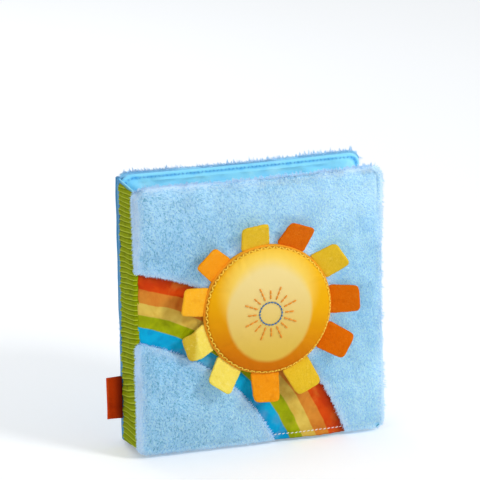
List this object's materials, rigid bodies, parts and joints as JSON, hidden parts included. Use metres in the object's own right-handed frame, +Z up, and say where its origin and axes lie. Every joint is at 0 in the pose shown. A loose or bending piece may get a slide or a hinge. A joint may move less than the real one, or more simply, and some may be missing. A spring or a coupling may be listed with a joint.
{
  "type": "crinkle cloth book",
  "caption": "Soft cloth book for babies: padded plush covers with a rainbow panel and a stuffed sun with soft tabs, crinkle leaves and a striped spine.",
  "frame": {"origin": "middle of the bounding box at the surface the closed book stands on", "axes": "+Z up along the spine, -Y out of the front cover, +X from the spine to the fore edge"},
  "size_m": [0.1718, 0.0636, 0.173],
  "materials": {
    "striped_knit": "striped knit",
    "spine_blue": "smooth woven cloth",
    "wadding": "fibre filling",
    "lining": "smooth woven cloth",
    "tag_ribbon": "woven ribbon",
    "plush": "soft pile",
    "rainbow_print": "printed satin",
    "sun_print": "printed satin",
    "sun_backing": "woven cloth",
    "tab_yellow": "felt",
    "tab_deep_orange": "felt",
    "tab_orange": "felt",
    "leaf_blue": "printed cloth",
    "leaf_yellow": "printed cloth",
    "film": "crinkle film",
    "leaf_green": "printed cloth",
    "leaf_peach": "printed cloth"
  },
  "bodies": {
    "spine": {"spine_striped_cloth": "striped_knit", "spine_rear_cloth": "spine_blue", "spine_filling": "wadding", "spine_lining": "lining"},
    "front_cover": {"front_plush_sky": "plush", "front_plush_lower": "plush", "front_rainbow_panel": "rainbow_print", "front_wadding": "wadding", "front_lining": "lining", "sun_face": "sun_print", "sun_filling": "wadding", "sun_backing": "sun_backing"},
    "back_cover": {"back_plush": "plush", "back_wadding": "wadding", "back_lining": "lining"},
    "leaf_1": {"leaf_1_front_side": "leaf_blue", "leaf_1_back_side": "leaf_yellow", "leaf_1_crinkle_film": "film"},
    "leaf_2": {"leaf_2_front_side": "leaf_yellow", "leaf_2_back_side": "leaf_green", "leaf_2_crinkle_film": "film"},
    "leaf_3": {"leaf_3_front_side": "leaf_green", "leaf_3_back_side": "leaf_peach", "leaf_3_crinkle_film": "film"},
    "leaf_4": {"leaf_4_front_side": "leaf_peach", "leaf_4_back_side": "leaf_blue", "leaf_4_crinkle_film": "film"},
    "ray_01": {"tab_01_top": "tab_yellow"},
    "ray_02": {"tab_02_top_right": "tab_deep_orange"},
    "ray_03": {"tab_03_upper_right": "tab_yellow"},
    "ray_04": {"tab_04_right": "tab_deep_orange"},
    "ray_05": {"tab_05_lower_right": "tab_deep_orange"},
    "ray_06": {"tab_06_bottom_right": "tab_yellow"},
    "ray_07": {"tab_07_bottom": "tab_orange"},
    "ray_08": {"tab_08_bottom_left": "tab_yellow"},
    "ray_09": {"tab_09_lower_left": "tab_yellow"},
    "ray_10": {"tab_10_left": "tab_orange"},
    "ray_11": {"tab_11_upper_left": "tab_orange"},
    "tag": {"spine_tag": "tag_ribbon"}
  },
  "joints": [
    {"name": "front_cover_open", "type": "hinge", "parent": "spine", "child": "front_cover", "pos_m": [-0.07471, -0.01614, 0.0865], "axis": [0, 0, -1], "range_deg": [0, 180]},
    {"name": "back_cover_open", "type": "hinge", "parent": "spine", "child": "back_cover", "pos_m": [-0.07471, 0.02837, 0.0865], "axis": [0, 0, 1], "range_deg": [0, 180]},
    {"name": "leaf_1_turn", "type": "hinge", "parent": "spine", "child": "leaf_1", "pos_m": [-0.06895, -0.00409, 0.0865], "axis": [0, 0, -1], "range_deg": [0, 90]},
    {"name": "leaf_2_turn", "type": "hinge", "parent": "spine", "child": "leaf_2", "pos_m": [-0.06895, 0.00271, 0.0865], "axis": [0, 0, -1], "range_deg": [0, 45]},
    {"name": "leaf_3_turn", "type": "hinge", "parent": "spine", "child": "leaf_3", "pos_m": [-0.06895, 0.00951, 0.0865], "axis": [0, 0, 1], "range_deg": [0, 45]},
    {"name": "leaf_4_turn", "type": "hinge", "parent": "spine", "child": "leaf_4", "pos_m": [-0.06895, 0.01631, 0.0865], "axis": [0, 0, 1], "range_deg": [0, 90]},
    {"name": "ray_01_lift", "type": "hinge", "parent": "front_cover", "child": "ray_01", "pos_m": [0.0006, -0.02164, 0.13157], "axis": [0.9854, 0, 0.1702], "range_deg": [-24, 60], "stiffness_Nm_per_rad": 0.002},
    {"name": "ray_02_lift", "type": "hinge", "parent": "front_cover", "child": "ray_02", "pos_m": [0.02383, -0.02164, 0.12905], "axis": [0.9259, 0, -0.3778], "range_deg": [-20, 64], "stiffness_Nm_per_rad": 0.002},
    {"name": "ray_03_lift", "type": "hinge", "parent": "front_cover", "child": "ray_03", "pos_m": [0.04255, -0.02164, 0.11411], "axis": [0.5736, 0, -0.8192], "range_deg": [-20, 64], "stiffness_Nm_per_rad": 0.002},
    {"name": "ray_04_lift", "type": "hinge", "parent": "front_cover", "child": "ray_04", "pos_m": [0.05017, -0.02164, 0.09186], "axis": [0.0489, 0, -0.9988], "range_deg": [-18, 66], "stiffness_Nm_per_rad": 0.002},
    {"name": "ray_05_lift", "type": "hinge", "parent": "front_cover", "child": "ray_05", "pos_m": [0.04486, -0.02164, 0.06917], "axis": [-0.4863, 0, -0.8738], "range_deg": [-18, 66], "stiffness_Nm_per_rad": 0.002},
    {"name": "ray_06_lift", "type": "hinge", "parent": "front_cover", "child": "ray_06", "pos_m": [0.0258, -0.02164, 0.05139], "axis": [-0.9056, 0, -0.4242], "range_deg": [-20, 64], "stiffness_Nm_per_rad": 0.002},
    {"name": "ray_07_lift", "type": "hinge", "parent": "front_cover", "child": "ray_07", "pos_m": [0.00522, -0.02164, 0.04746], "axis": [-0.9981, 0, 0.061], "range_deg": [-18, 66], "stiffness_Nm_per_rad": 0.002},
    {"name": "ray_08_lift", "type": "hinge", "parent": "front_cover", "child": "ray_08", "pos_m": [-0.01806, -0.02164, 0.05619], "axis": [-0.7923, 0, 0.6101], "range_deg": [-22, 62], "stiffness_Nm_per_rad": 0.002},
    {"name": "ray_09_lift", "type": "hinge", "parent": "front_cover", "child": "ray_09", "pos_m": [-0.03201, -0.02164, 0.07522], "axis": [-0.3437, 0, 0.9391], "range_deg": [-26, 58], "stiffness_Nm_per_rad": 0.002},
    {"name": "ray_10_lift", "type": "hinge", "parent": "front_cover", "child": "ray_10", "pos_m": [-0.03365, -0.02164, 0.09867], "axis": [0.2096, 0, 0.9778], "range_deg": [-18, 66], "stiffness_Nm_per_rad": 0.002},
    {"name": "ray_11_lift", "type": "hinge", "parent": "front_cover", "child": "ray_11", "pos_m": [-0.0231, -0.02164, 0.11881], "axis": [0.6845, 0, 0.729], "range_deg": [-22, 62], "stiffness_Nm_per_rad": 0.002},
    {"name": "tag_flap", "type": "hinge", "parent": "spine", "child": "tag", "pos_m": [-0.07689, 0.01491, 0.0315], "axis": [0, 0, 1], "range_deg": [-60, 60], "stiffness_Nm_per_rad": 0.002}
  ],
  "couplings": [
    {"joint": "leaf_1_turn", "follows": "front_cover_open", "ratio": 0.5},
    {"joint": "leaf_2_turn", "follows": "front_cover_open", "ratio": 0.25},
    {"joint": "leaf_3_turn", "follows": "back_cover_open", "ratio": 0.25},
    {"joint": "leaf_4_turn", "follows": "back_cover_open", "ratio": 0.5}
  ]
}
